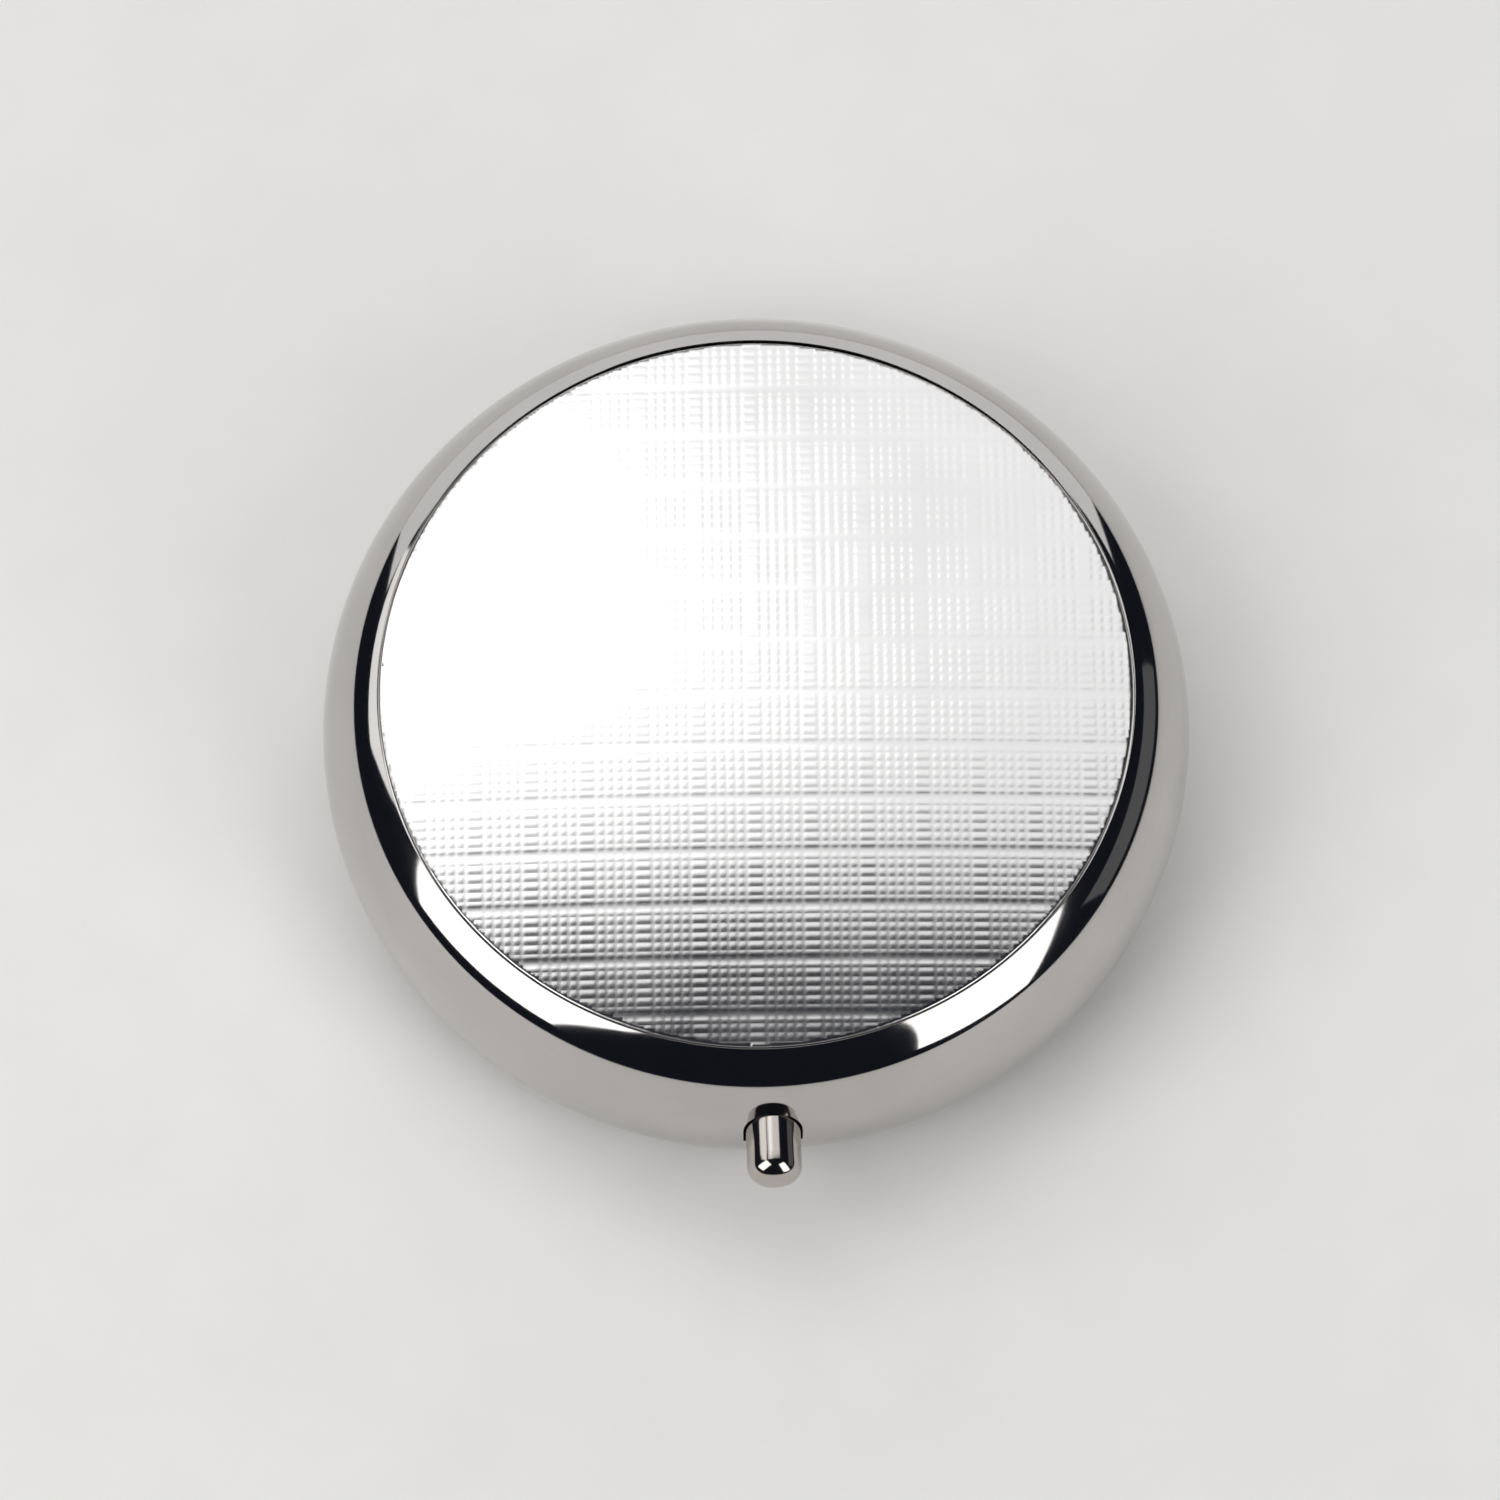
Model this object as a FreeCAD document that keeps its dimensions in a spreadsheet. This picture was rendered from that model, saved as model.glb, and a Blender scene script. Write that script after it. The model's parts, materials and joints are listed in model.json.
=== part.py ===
import FreeCAD, Part
import math
import os
import Sketcher

# A round push-button pill box, closed, standing on its base.
# The case axis is Z, the push button is at -Y and the hinge is at +Y. Lengths are millimetres.

DIMENSIONS = {
    # base shell
    "base_radius": 24.9,
    "base_corner_radius": 6.0,
    "base_rim_z": 6.7,
    "shell_wall": 0.5,
    # lid shell: two tangent arcs from the rim up to the edge of the plate's recess
    "lid_radius": 25.0,
    "lid_rim_z": 6.85,
    "side_arc_radius": 9.2,
    "side_arc_sweep": 33.0,
    "shoulder_arc_radius": 3.9,
    "inner_shoulder_sweep": 50.0,
    "recess_radius": 21.6,
    "recess_floor_z": 12.75,
    "lid_top_under_z": 13.2,
    "dome_rise": 1.0,
    # embossed plate and what bonds it
    "plate_radius": 21.5,
    "plate_thickness": 0.4,
    "bond_thickness": 0.15,
    "bond_clearance": 0.01,
    "bond_radius": 20.5,
    # collar
    "collar_outer_radius": 23.4,
    "collar_wall": 0.4,
    "collar_bottom_z": 5.9,
    "collar_foot_top_z": 6.4,
    "collar_top_z": 10.6,
    "collar_holes_from_y": -18.0,
    # push button
    "button_z": 8.4,
    "button_radius": 1.55,
    "button_tip_y": -28.0,
    "button_tip_round": 1.05,
    "flange_front_y": -21.95,
    "flange_thickness": 0.5,
    "flange_radius": 2.15,
    "hub_radius": 1.0,
    "hub_rear_y": -20.8,
    "stem_radius": 0.6,
    "stem_end_y": -16.4,
    "running_fit": 0.06,
    "catch_fit": 0.03,
    "notch_half_width": 1.68,
    # latch bracket, catch and striker
    "bracket_half_width": 5.2,
    "bracket_front_y": -22.4,
    "bracket_rear_y": -17.2,
    "bracket_bottom_z": 4.9,
    "bracket_top_z": 10.3,
    "sheet": 0.4,
    "rivet_x": 4.2,
    "rivet_z": 7.6,
    "rivet_radius": 0.33,
    "rivet_head_radius": 0.6,
    "rivet_head_thickness": 0.25,
    "catch_half_width": 3.9,
    "catch_bottom_z": 7.0,
    "catch_top_z": 10.3,
    "ear_inner_x": 2.6,
    "ear_dip_z": 9.9,
    "window_inset": 0.3,
    "window_bottom_z": 8.4,
    "window_top_z": 9.5,
    "striker_front_y": -21.75,
    "striker_bottom_z": 8.6,
    "striker_bridge_z": 11.2,
    "striker_top_z": 12.33,
    "striker_foot_depth": 0.8,
    "barb_length": 0.25,
    "barb_thickness": 0.6,
    "clip_radius": 1.3,
    "clip_thickness": 0.3,
    "clip_front_y": -17.15,
    "clip_gap_half_width": 0.48,
    "clip_gap_top": 0.2,
    "clip_fit": 0.02,
    "spring_wire": 0.28,
    "spring_mean_radius": 1.15,
    # tray
    "tray_radius": 22.6,
    "tray_corner_radius": 3.8,
    "tray_bottom_z": 0.5,
    "tray_floor_z": 1.5,
    "tray_top_z": 9.4,
    "tray_wall": 1.2,
    "tray_corner_fillet": 1.0,
    "tray_notch_half_width": 5.9,
    "tray_notch_y": -14.8,
    # hinge
    "hinge_y": 24.1,
    "hinge_z": 6.8,
    "barrel_radius": 0.75,
    "pin_radius": 0.35,
    "pin_clearance": 0.05,
    "hinge_half_width": 6.0,
    "cutout_half_width": 6.9,
    "base_cutout_z": 5.7,
    "lid_cutout_z": 7.9,
    "outer_knuckle_x": 3.9,
    "inner_knuckle_x": 1.7,
    "knuckle_length": 2.1,
    "base_leaf_radius": 23.8,
    "base_leaf_bottom_z": 4.7,
    "base_leaf_top_z": 5.7,
    "base_arm_y": 23.0,
    "base_arm_bottom_z": 5.3,
    "base_arm_web": 0.45,
    "lid_leaf_radius": 23.6,
    "lid_leaf_bottom_z": 7.9,
    "lid_leaf_top_z": 9.4,
    "lid_arm_y": 23.45,
    "lid_arm_top_z": 8.3,
    "base_leaf_angle": 29.0,
    "lid_leaf_angle": 18.4,
    "torsion_wire": 0.24,
    "torsion_mean_radius": 0.58,
    "torsion_leg_radius": 0.1,
    "torsion_half_length": 1.4,
    "torsion_leg": 0.9,
    # mirror
    "mirror_radius": 19.0,
    "mirror_bottom_z": 11.0,
    "mirror_thickness": 1.0,
    "frame_outer_radius": 20.1,
    "frame_lip_radius": 18.4,
    "frame_bottom_z": 10.75,
    "frame_top_z": 12.4,
    "pad_radius": 16.0,
    "pad_edge_z": 12.7,
    "pad_top_z": 13.15,
}

FULL_TURN = 360.0
FAR = 40.0  # a cut this long passes right through the case

document = FreeCAD.newDocument("pill_box")
sheet = document.addObject("Spreadsheet::Sheet", "Dims")
for row, (alias, number) in enumerate(DIMENSIONS.items(), start=1):
    sheet.set("A%d" % row, alias)
    sheet.set("B%d" % row, str(number))
    sheet.setAlias("B%d" % row, alias)
document.recompute()

# expressions that several sub-parts share
SIDE_X = "(Dims.lid_radius - Dims.side_arc_radius * (1 - cos(Dims.side_arc_sweep)))"
SIDE_Z = "(Dims.lid_rim_z + Dims.side_arc_radius * sin(Dims.side_arc_sweep))"
SHOULDER_X = "(%s - Dims.shoulder_arc_radius * cos(Dims.side_arc_sweep))" % SIDE_X
SHOULDER_Z = "(%s - Dims.shoulder_arc_radius * sin(Dims.side_arc_sweep))" % SIDE_Z
COLLAR_INNER = "(Dims.collar_outer_radius - Dims.collar_wall)"
BUTTON_HOLE = "(Dims.button_radius + Dims.running_fit)"


def value(expression):
    """The number that an expression of the sheet's cells gives."""
    return float(sheet.evalExpression(expression.replace("Dims.", "")))


def dome_radius(radius, rise):
    """The sphere's radius for a dome of this edge radius and rise, as an expression."""
    return "((%s)^2 + (%s)^2) / (2 * (%s))" % (radius, rise, rise)


def new_body(name):
    body = document.addObject("PartDesign::Body", name)
    body.Label = name
    return body


def origin_plane(body, role):
    return [plane for plane in body.Origin.OriginFeatures if plane.Role == role][0]


def new_sketch(body, name, role, offset=None):
    """A sketch on one of the body's origin planes, moved along the plane's normal by offset."""
    sketch = body.newObject("Sketcher::SketchObject", name)
    sketch.AttachmentSupport = [(origin_plane(body, role), "")]
    sketch.MapMode = "FlatFace"
    if offset:
        sketch.setExpression("AttachmentOffset.Base.z", offset)
    return sketch


def fix_point(sketch, edge, end, x, y):
    """Holds one end of an edge at the place that two expressions give."""
    for kind, expression, axis in (("DistanceX", x, -2), ("DistanceY", y, -1)):
        number = value(expression)
        if abs(number) < 1e-9:
            sketch.addConstraint(Sketcher.Constraint("PointOnObject", edge, end, axis))
            continue
        held = sketch.addConstraint(Sketcher.Constraint(kind, -1, 1, edge, end, number))
        sketch.setExpression("Constraints[%d]" % held, expression)


def add_edge(sketch, start, end, radius):
    """A line, or an arc that turns left (radius > 0) or right: its index, start and end."""
    if not radius:
        return sketch.addGeometry(Part.LineSegment(start, end)), 1, 2
    chord = end - start
    left = FreeCAD.Vector(-chord.y, chord.x, 0).normalize()
    reach = math.sqrt(max(radius**2 - chord.Length**2 / 4, 0.0))
    side = 1 if radius > 0 else -1
    centre = (start + end) / 2 + left * reach * side
    first, last = (start, end) if side > 0 else (end, start)
    angles = [math.atan2(p.y - centre.y, p.x - centre.x) for p in (first, last)]
    if angles[1] < angles[0]:
        angles[1] += 2 * math.pi
    circle = Part.Circle(centre, FreeCAD.Vector(0, 0, 1), abs(radius))
    edge = sketch.addGeometry(Part.ArcOfCircle(circle, angles[0], angles[1]))
    return (edge, 1, 2) if side > 0 else (edge, 2, 1)


def outline(sketch, corners):
    """A closed outline. Each corner is (x, y), or (x, y, radius) where an arc leads to it.

    The arc's radius is an expression, with a minus sign in front where the arc turns right.
    """
    points = [FreeCAD.Vector(value(c[0]), value(c[1]), 0) for c in corners]
    edges = []
    for index, corner in enumerate(corners):
        radius = value(corner[2]) if len(corner) > 2 else 0
        edges.append(add_edge(sketch, points[index - 1], points[index], radius))
    for index, corner in enumerate(corners):
        edge, start, end = edges[index]
        before, _, before_end = edges[index - 1]
        sketch.addConstraint(Sketcher.Constraint("Coincident", edge, start, before, before_end))
        fix_point(sketch, edge, end, corner[0], corner[1])
        if len(corner) > 2:
            held = sketch.addConstraint(
                Sketcher.Constraint("Radius", edge, abs(value(corner[2])))
            )
            sketch.setExpression("Constraints[%d]" % held, corner[2].lstrip("-"))


def circle(sketch, x, y, radius):
    centre = FreeCAD.Vector(value(x), value(y), 0)
    edge = sketch.addGeometry(
        Part.Circle(centre, FreeCAD.Vector(0, 0, 1), value(radius))
    )
    fix_point(sketch, edge, 3, x, y)
    held = sketch.addConstraint(Sketcher.Constraint("Radius", edge, value(radius)))
    sketch.setExpression("Constraints[%d]" % held, radius)


def rectangle(sketch, low_x, low_y, high_x, high_y):
    corners = [(low_x, low_y), (high_x, low_y), (high_x, high_y), (low_x, high_y)]
    outline(sketch, corners)


def revolve(body, sketch, angle=None, axis="V_Axis"):
    """Turns a section about one of its axes: fully, or by an angle centred on its plane."""
    feature = body.newObject("PartDesign::Revolution", sketch.Name + "_turned")
    feature.Profile = sketch
    feature.ReferenceAxis = (sketch, [axis])
    feature.Angle = FULL_TURN
    if angle:
        feature.Midplane = True
        feature.setExpression("Angle", angle)
    document.recompute()
    return feature


def pad(body, sketch, length, midplane=False, backwards=False):
    feature = body.newObject("PartDesign::Pad", sketch.Name + "_pad")
    feature.Profile = sketch
    feature.Midplane = midplane
    feature.Reversed = backwards
    feature.setExpression("Length", length)
    document.recompute()
    return feature


def pocket(body, sketch, length, midplane=False, backwards=False):
    """A cut that has to take something away."""
    before = body.Shape.Volume
    feature = body.newObject("PartDesign::Pocket", sketch.Name + "_cut")
    feature.Profile = sketch
    feature.Midplane = midplane
    feature.Reversed = backwards
    feature.setExpression("Length", length)
    document.recompute()
    if not body.Shape.Volume < before - 1e-4:
        raise RuntimeError("%s cuts nothing" % feature.Name)
    return feature


def base_shell():
    """The pressed lower half: a flat bottom, a round corner and an upright wall."""
    body = new_body("base_shell")
    section = new_sketch(body, "base_section", "XZ_Plane")
    flat = "Dims.base_radius - Dims.base_corner_radius"
    inner = "Dims.base_radius - Dims.shell_wall"
    outline(
        section,
        [
            ("0", "0"),
            (flat, "0"),
            ("Dims.base_radius", "Dims.base_corner_radius", "Dims.base_corner_radius"),
            ("Dims.base_radius", "Dims.base_rim_z"),
            (inner, "Dims.base_rim_z"),
            (inner, "Dims.base_corner_radius"),
            (flat, "Dims.shell_wall", "-(Dims.base_corner_radius - Dims.shell_wall)"),
            ("0", "Dims.shell_wall"),
        ],
    )
    revolve(body, section)
    hinge_cutout(body, "base_cutout", "Dims.base_cutout_z", "Dims.lid_cutout_z")
    return body


def hinge_cutout(body, name, low_z, high_z):
    """The opening in a rear wall that the hinge barrel sits in."""
    sketch = new_sketch(body, name, "XZ_Plane")
    rectangle(sketch, "-Dims.cutout_half_width", low_z, "Dims.cutout_half_width", high_z)
    pocket(body, sketch, str(FAR))


def base_collar():
    """The ring that stands up out of the base, with a foot that meets the base's wall."""
    body = new_body("base_collar")
    section = new_sketch(body, "collar_section", "XZ_Plane")
    foot = "Dims.base_radius - Dims.shell_wall"
    outline(
        section,
        [
            (COLLAR_INNER, "Dims.collar_bottom_z"),
            (foot, "Dims.collar_bottom_z"),
            (foot, "Dims.collar_foot_top_z"),
            ("Dims.collar_outer_radius", "Dims.collar_foot_top_z"),
            ("Dims.collar_outer_radius", "Dims.collar_top_z"),
            (COLLAR_INNER, "Dims.collar_top_z"),
        ],
    )
    revolve(body, section)
    hinge_cutout(body, "collar_cutout", "Dims.base_cutout_z", "Dims.lid_cutout_z")
    front_holes(body, "collar", "Dims.collar_holes_from_y")
    return body


def front_holes(body, name, from_y):
    """The button's hole and the two rivet holes, cut forwards from a plane at from_y."""
    holes = new_sketch(body, name + "_holes", "XZ_Plane", "-(%s)" % from_y)
    circle(holes, "0", "Dims.button_z", BUTTON_HOLE)
    for side in ("-", ""):
        circle(holes, side + "Dims.rivet_x", "Dims.rivet_z", "Dims.rivet_radius")
    pocket(body, holes, str(FAR), backwards=True)


def pill_tray():
    """A moulded tray: one compartment across the rear, two in front beside the latch."""
    body = new_body("pill_tray")
    section = new_sketch(body, "tray_section", "XZ_Plane")
    flat = "Dims.tray_radius - Dims.tray_corner_radius"
    corner_z = "Dims.tray_bottom_z + Dims.tray_corner_radius"
    outline(
        section,
        [
            ("0", "Dims.tray_bottom_z"),
            (flat, "Dims.tray_bottom_z"),
            ("Dims.tray_radius", corner_z, "Dims.tray_corner_radius"),
            ("Dims.tray_radius", "Dims.tray_top_z"),
            ("0", "Dims.tray_top_z"),
        ],
    )
    revolve(body, section)
    notch = new_sketch(body, "latch_notch", "XY_Plane")
    notch_x = "Dims.tray_notch_half_width"
    rectangle(notch, "-" + notch_x, str(-FAR), notch_x, "Dims.tray_notch_y")
    pocket(body, notch, str(FAR), backwards=True)
    depth = "Dims.tray_top_z - Dims.tray_floor_z"
    half_wall = "Dims.tray_wall / 2"
    reach = "(Dims.tray_radius - Dims.tray_wall)"
    side_x = "sqrt(%s^2 - (Dims.tray_wall / 2)^2)" % reach
    rear = new_sketch(body, "rear_compartment", "XY_Plane", "Dims.tray_top_z")
    outline(
        rear,
        [("-" + side_x, half_wall, reach), (side_x, half_wall), ("0", reach, reach)],
    )
    pocket(body, rear, depth)
    front = new_sketch(body, "front_compartment", "XY_Plane", "Dims.tray_top_z")
    step_x = "(Dims.tray_notch_half_width + Dims.tray_wall)"
    outline(
        front,
        [
            (half_wall, "-" + half_wall),
            (side_x, "-" + half_wall),
            (step_x, "-sqrt(%s^2 - %s^2)" % (reach, step_x), "-" + reach),
            (step_x, "Dims.tray_notch_y + Dims.tray_wall"),
            (half_wall, "Dims.tray_notch_y + Dims.tray_wall"),
        ],
    )
    mirror_features(body, [pocket(body, front, depth)])
    round_uprights(body, "Dims.tray_corner_fillet", "Dims.tray_floor_z", "Dims.tray_top_z")
    return body


def mirror_features(body, features):
    """Repeats features on the other side of the body's YZ plane."""
    mirrored = body.newObject("PartDesign::Mirrored", features[0].Name + "_mirrored")
    mirrored.Originals = features
    mirrored.MirrorPlane = (origin_plane(body, "YZ_Plane"), [""])
    body.Tip = mirrored
    document.recompute()


def round_uprights(body, radius, low_z, high_z):
    """Rounds the straight upright edges that run from low_z to high_z."""
    low, high = value(low_z), value(high_z)
    names = []
    for index, edge in enumerate(body.Shape.Edges, start=1):
        ends = [vertex.Point for vertex in edge.Vertexes]
        if len(ends) != 2 or abs(edge.Length - (high - low)) > 1e-4:
            continue
        heights = sorted(end.z for end in ends)
        if abs(heights[0] - low) < 1e-4 and abs(heights[1] - high) < 1e-4:
            names.append("Edge%d" % index)
    rounded = body.Tip
    fillet = body.newObject("PartDesign::Fillet", body.Name + "_rounds")
    fillet.Base = (rounded, names)
    fillet.setExpression("Radius", radius)
    document.recompute()


def latch_bracket():
    """A strip bent into a channel, with one wall behind the collar and one behind the spring."""
    body = new_body("latch_bracket")
    channel = new_sketch(body, "bracket_channel", "YZ_Plane")
    front_inner = "Dims.bracket_front_y + Dims.sheet"
    rear_inner = "Dims.bracket_rear_y - Dims.sheet"
    floor_z = "Dims.bracket_bottom_z + Dims.sheet"
    outline(
        channel,
        [
            ("Dims.bracket_front_y", "Dims.bracket_bottom_z"),
            ("Dims.bracket_rear_y", "Dims.bracket_bottom_z"),
            ("Dims.bracket_rear_y", "Dims.bracket_top_z"),
            (rear_inner, "Dims.bracket_top_z"),
            (rear_inner, floor_z),
            (front_inner, floor_z),
            (front_inner, "Dims.bracket_top_z"),
            ("Dims.bracket_front_y", "Dims.bracket_top_z"),
        ],
    )
    pad(body, channel, "2 * Dims.bracket_half_width", midplane=True)
    front_holes(body, "bracket", "Dims.bracket_front_y + 2 * Dims.sheet")
    stem_hole = new_sketch(body, "stem_hole", "XZ_Plane")
    circle(stem_hole, "0", "Dims.button_z", "Dims.stem_radius + Dims.running_fit")
    pocket(body, stem_hole, str(FAR), backwards=True)
    return body


def latch_rivets():
    """Two rivets through the bracket and the collar, as a group of separate solids."""
    inner_y = value("Dims.bracket_front_y + Dims.sheet")
    rivet_x, rivet_z = value("Dims.rivet_x"), value("Dims.rivet_z")
    head = value("Dims.rivet_head_thickness")
    near_x = rivet_x - value("Dims.rivet_head_radius")
    outer_y = -math.sqrt(value("Dims.collar_outer_radius") ** 2 - near_x**2)
    forwards = FreeCAD.Vector(0, -1, 0)
    rivets = []
    for x in (-rivet_x, rivet_x):
        rivet = None
        for start, length, radius in (
            (inner_y + head, head, value("Dims.rivet_head_radius")),
            (inner_y, inner_y - outer_y, value("Dims.rivet_radius")),
            (outer_y, head, value("Dims.rivet_head_radius")),
        ):
            base = FreeCAD.Vector(x, start, rivet_z)
            piece = Part.makeCylinder(radius, length, base, forwards)
            rivet = piece if rivet is None else rivet.fuse(piece)
        rivets.append(rivet)
    feature = document.addObject("Part::Feature", "latch_rivets")
    feature.Label = "latch_rivets"
    feature.Shape = Part.makeCompound(rivets)
    feature.Placement = FreeCAD.Placement()
    return feature


def button_spring():
    """The tube that the spring fills, between the catch plate and the bracket's rear wall."""
    body = new_body("button_spring")
    section = new_sketch(body, "spring_section", "XY_Plane")
    rectangle(
        section,
        "Dims.spring_mean_radius - Dims.spring_wire / 2",
        "Dims.hub_rear_y + Dims.sheet",
        "Dims.spring_mean_radius + Dims.spring_wire / 2",
        "Dims.bracket_rear_y - Dims.sheet",
    )
    revolve(body, section)
    body.setExpression("Placement.Base.z", "Dims.button_z")
    return body


def push_button():
    """The round pin with its flange, hub and stem, turned in one piece."""
    body = new_body("push_button")
    section = new_sketch(body, "button_section", "XY_Plane")
    flange_rear = "Dims.flange_front_y + Dims.flange_thickness"
    round_x = "Dims.button_radius - Dims.button_tip_round"
    outline(
        section,
        [
            ("0", "Dims.button_tip_y"),
            (round_x, "Dims.button_tip_y"),
            ("Dims.button_radius", "Dims.button_tip_y + Dims.button_tip_round",
             "Dims.button_tip_round"),
            ("Dims.button_radius", "Dims.flange_front_y"),
            ("Dims.flange_radius", "Dims.flange_front_y"),
            ("Dims.flange_radius", flange_rear),
            ("Dims.hub_radius", flange_rear),
            ("Dims.hub_radius", "Dims.hub_rear_y"),
            ("Dims.stem_radius", "Dims.hub_rear_y"),
            ("Dims.stem_radius", "Dims.stem_end_y"),
            ("0", "Dims.stem_end_y"),
        ],
    )
    revolve(body, section)
    body.setExpression("Placement.Base.z", "Dims.button_z")
    return body


def latch_catch():
    """A plate on the button's stem, with two windowed ears that hold the striker's barbs."""
    body = new_body("latch_catch")
    plate = new_sketch(body, "catch_outline", "XZ_Plane", "-Dims.hub_rear_y")
    width, ear = "Dims.catch_half_width", "Dims.ear_inner_x"
    outline(
        plate,
        [
            ("-" + width, "Dims.catch_bottom_z"),
            (width, "Dims.catch_bottom_z"),
            (width, "Dims.catch_top_z"),
            (ear, "Dims.catch_top_z"),
            (ear, "Dims.ear_dip_z"),
            ("-" + ear, "Dims.ear_dip_z"),
            ("-" + ear, "Dims.catch_top_z"),
            ("-" + width, "Dims.catch_top_z"),
        ],
    )
    pad(body, plate, "Dims.sheet", backwards=True)
    openings = new_sketch(body, "catch_openings", "XZ_Plane")
    circle(openings, "0", "Dims.button_z", "Dims.stem_radius + Dims.catch_fit")
    inset = "Dims.window_inset"
    for sign in ("-", ""):
        sides = ["%s(%s - %s)" % (sign, width, inset), "%s(%s + %s)" % (sign, ear, inset)]
        sides.sort(key=value)
        rectangle(openings, sides[0], "Dims.window_bottom_z", sides[1], "Dims.window_top_z")
    pocket(body, openings, str(FAR), backwards=True)
    return body


def retaining_clip():
    """The open clip on the stem, behind the bracket's rear wall."""
    body = new_body("retaining_clip")
    ring = new_sketch(body, "clip_ring", "XZ_Plane", "-Dims.clip_front_y")
    circle(ring, "0", "0", "Dims.clip_radius")
    circle(ring, "0", "0", "Dims.stem_radius + Dims.clip_fit")
    pad(body, ring, "Dims.clip_thickness", backwards=True)
    gap = new_sketch(body, "clip_gap", "XZ_Plane")
    half_gap = "Dims.clip_gap_half_width"
    rectangle(gap, "-" + half_gap, "-2 * Dims.clip_radius", half_gap, "-Dims.clip_gap_top")
    pocket(body, gap, str(FAR), backwards=True)
    body.setExpression("Placement.Base.z", "Dims.button_z")
    return body


def lid_shell():
    """The pressed lid: a bulging side, a tight shoulder, and a domed recess for the plate."""
    body = new_body("lid_shell")
    section = new_sketch(body, "lid_section", "XZ_Plane")
    edge_angle = "acos((Dims.recess_radius - %s) / Dims.shoulder_arc_radius)" % SHOULDER_X
    edge_z = "%s + Dims.shoulder_arc_radius * sin(%s)" % (SHOULDER_Z, edge_angle)
    crown_z = "Dims.recess_floor_z + Dims.dome_rise"
    side_inner = "(Dims.side_arc_radius - Dims.shell_wall)"
    shoulder_inner = "(Dims.shoulder_arc_radius - Dims.shell_wall)"
    under_x = "(%s + %s * cos(Dims.inner_shoulder_sweep))" % (SHOULDER_X, shoulder_inner)
    under_z = "(%s + %s * sin(Dims.inner_shoulder_sweep))" % (SHOULDER_Z, shoulder_inner)
    under_rise = "(Dims.lid_top_under_z - %s)" % under_z
    outline(
        section,
        [
            ("Dims.lid_radius", "Dims.lid_rim_z"),
            (SIDE_X, SIDE_Z, "Dims.side_arc_radius"),
            ("Dims.recess_radius", edge_z, "Dims.shoulder_arc_radius"),
            ("Dims.recess_radius", "Dims.recess_floor_z"),
            ("0", crown_z, dome_radius("Dims.recess_radius", "Dims.dome_rise")),
            ("0", "Dims.lid_top_under_z"),
            (under_x, under_z, "-(%s)" % dome_radius(under_x, under_rise)),
            (
                "%s - Dims.shell_wall * cos(Dims.side_arc_sweep)" % SIDE_X,
                "%s - Dims.shell_wall * sin(Dims.side_arc_sweep)" % SIDE_Z,
                "-" + shoulder_inner,
            ),
            ("Dims.lid_radius - Dims.shell_wall", "Dims.lid_rim_z", "-" + side_inner),
        ],
    )
    revolve(body, section)
    notch = new_sketch(body, "button_notch", "XZ_Plane")
    half, notch_bottom = "Dims.notch_half_width", "Dims.lid_rim_z - 1"
    outline(
        notch,
        [
            ("-" + half, notch_bottom),
            (half, notch_bottom),
            (half, "Dims.button_z"),
            ("0", "Dims.button_z + " + half, half),
            ("-" + half, "Dims.button_z", half),
        ],
    )
    pocket(body, notch, str(FAR), backwards=True)
    hinge_cutout(body, "lid_cutout", "Dims.base_cutout_z", "Dims.lid_cutout_z")
    return body


def dished_disc(name, radius, crown_z, thickness):
    """A thin disc that follows the lid's dome, with the middle of its underside at crown_z."""
    body = new_body(name)
    section = new_sketch(body, name + "_section", "XZ_Plane")
    rise = "(Dims.dome_rise * (%s / Dims.recess_radius)^2)" % radius
    dome = dome_radius(radius, rise)
    outline(
        section,
        [
            (radius, "%s - %s" % (crown_z, rise), "-(%s)" % dome),
            (radius, "%s - %s + %s" % (crown_z, rise, thickness)),
            ("0", "%s + %s" % (crown_z, thickness), dome),
            ("0", crown_z),
        ],
    )
    revolve(body, section)
    return body


def lid_plate():
    crown_z = "Dims.recess_floor_z + Dims.dome_rise + Dims.bond_thickness"
    return dished_disc("lid_plate", "Dims.plate_radius", crown_z, "Dims.plate_thickness")


def plate_adhesive():
    """The film between the lid and the plate, a hair clear of both."""
    crown_z = "Dims.recess_floor_z + Dims.dome_rise + Dims.bond_clearance"
    thickness = "(Dims.bond_thickness - 2 * Dims.bond_clearance)"
    return dished_disc("plate_adhesive", "Dims.bond_radius", crown_z, thickness)


def mirror_pad():
    """The bonding pad between the flat mirror and the domed lid."""
    body = new_body("mirror_pad")
    section = new_sketch(body, "mirror_pad_section", "XZ_Plane")
    bottom_z = "Dims.mirror_bottom_z + Dims.mirror_thickness"
    rise = "(Dims.pad_top_z - Dims.pad_edge_z)"
    outline(
        section,
        [
            ("0", bottom_z),
            ("Dims.pad_radius", bottom_z),
            ("Dims.pad_radius", "Dims.pad_edge_z"),
            ("0", "Dims.pad_top_z", dome_radius("Dims.pad_radius", rise)),
        ],
    )
    revolve(body, section)
    return body


def lid_mirror():
    mirror = document.addObject("Part::Cylinder", "lid_mirror")
    mirror.Label = "lid_mirror"
    mirror.setExpression("Radius", "Dims.mirror_radius")
    mirror.setExpression("Height", "Dims.mirror_thickness")
    mirror.setExpression("Placement.Base.z", "Dims.mirror_bottom_z")
    return mirror


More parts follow.
